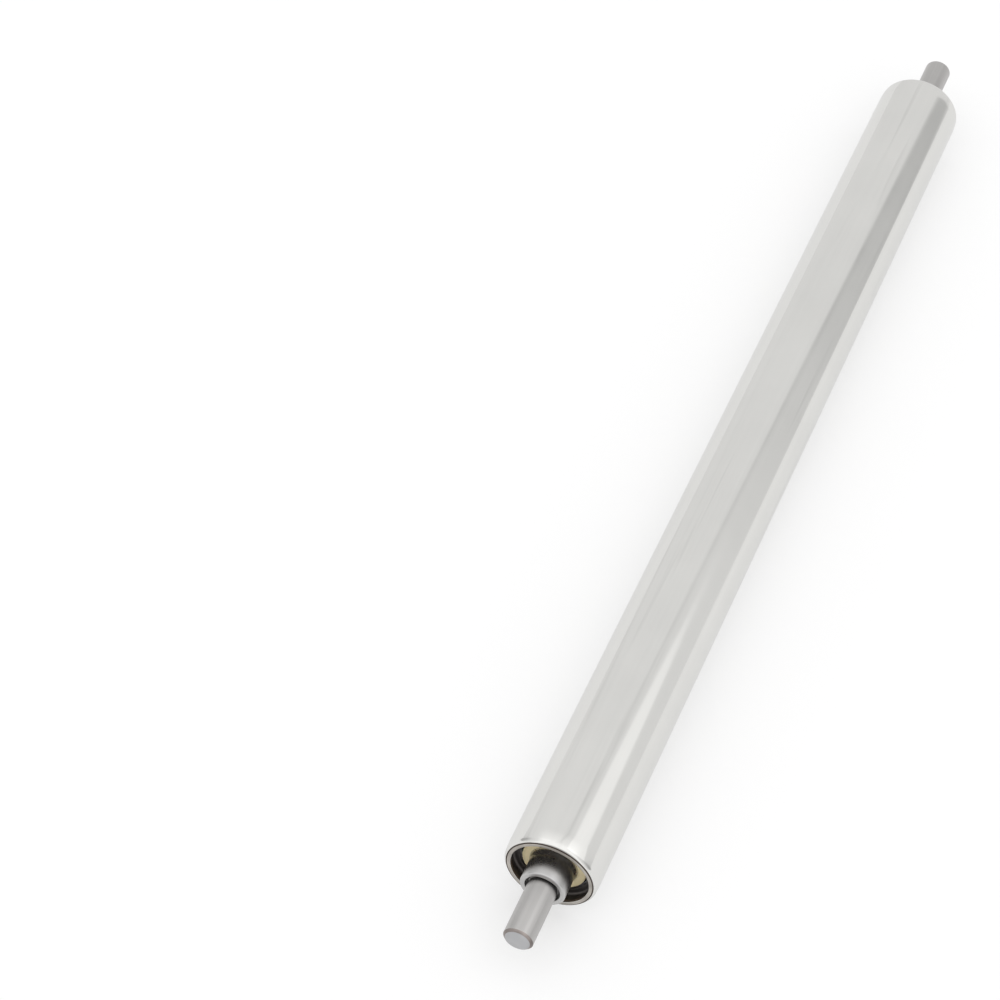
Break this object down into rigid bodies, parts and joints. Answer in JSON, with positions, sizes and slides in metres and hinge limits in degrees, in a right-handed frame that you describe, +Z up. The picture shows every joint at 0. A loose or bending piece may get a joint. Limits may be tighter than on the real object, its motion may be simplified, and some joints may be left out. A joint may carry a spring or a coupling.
{
  "type": "conveyor roller",
  "caption": "Plain steel conveyor roller with rolled-in tube ends, pressed bearings with long hubs, pale dust rings and a sprung round axle.",
  "frame": {"origin": "middle of the roller on the axle's centre line", "axes": "+Y along the axle from the near end to the far end, where the spring is; +Z up; +X to the right seen from the near end"},
  "size_m": [0.038, 0.544, 0.038],
  "materials": {
    "tube_steel": "bright satin plating over steel, faint lengthwise streaks",
    "axle_steel": "dull drawn steel",
    "hub_steel": "satin plated steel",
    "pressed_steel": "dark oiled pressed steel",
    "race_steel": "hardened and polished steel",
    "spring_steel": "oiled spring steel",
    "dust_ring_nylon": "cream moulded nylon",
    "cage_nylon": "natural moulded nylon"
  },
  "bodies": {
    "axle": {"axle": "axle_steel", "axle_spring": "spring_steel", "near_stop_ring": "spring_steel", "far_stop_ring": "spring_steel", "spring_stop_washer": "pressed_steel"},
    "hubs": {"near_hub": "hub_steel", "far_hub": "hub_steel", "near_dust_ring": "dust_ring_nylon", "far_dust_ring": "dust_ring_nylon", "spring_hub_washer": "pressed_steel"},
    "shell": {"tube": "tube_steel", "near_bearing_cup": "pressed_steel", "far_bearing_cup": "pressed_steel", "near_bearing_casing": "pressed_steel", "far_bearing_casing": "pressed_steel", "near_outer_race": "race_steel", "far_outer_race": "race_steel"},
    "near_ball_set": {"near_balls": "race_steel", "near_cage": "cage_nylon"},
    "far_ball_set": {"far_balls": "race_steel", "far_cage": "cage_nylon"}
  },
  "joints": [
    {"name": "axle_press", "type": "slide", "parent": "axle", "child": "hubs", "axis": [0, -1, 0], "range_m": [0, 0.026], "stiffness_N_per_m": 1350, "springref_m": -0.01, "deforming": ["axle_spring"]},
    {"name": "tube_spin", "type": "hinge", "parent": "hubs", "child": "shell", "pos_m": [0, 0, 0], "axis": [0, 1, 0], "continuous": true},
    {"name": "near_ball_orbit", "type": "hinge", "parent": "hubs", "child": "near_ball_set", "pos_m": [0, -0.23042, 0], "axis": [0, 1, 0], "continuous": true},
    {"name": "far_ball_orbit", "type": "hinge", "parent": "hubs", "child": "far_ball_set", "pos_m": [0, 0.23042, 0], "axis": [0, 1, 0], "continuous": true}
  ],
  "couplings": [
    {"joint": "near_ball_orbit", "follows": "tube_spin", "ratio": 0.5992},
    {"joint": "far_ball_orbit", "follows": "tube_spin", "ratio": 0.5992}
  ]
}
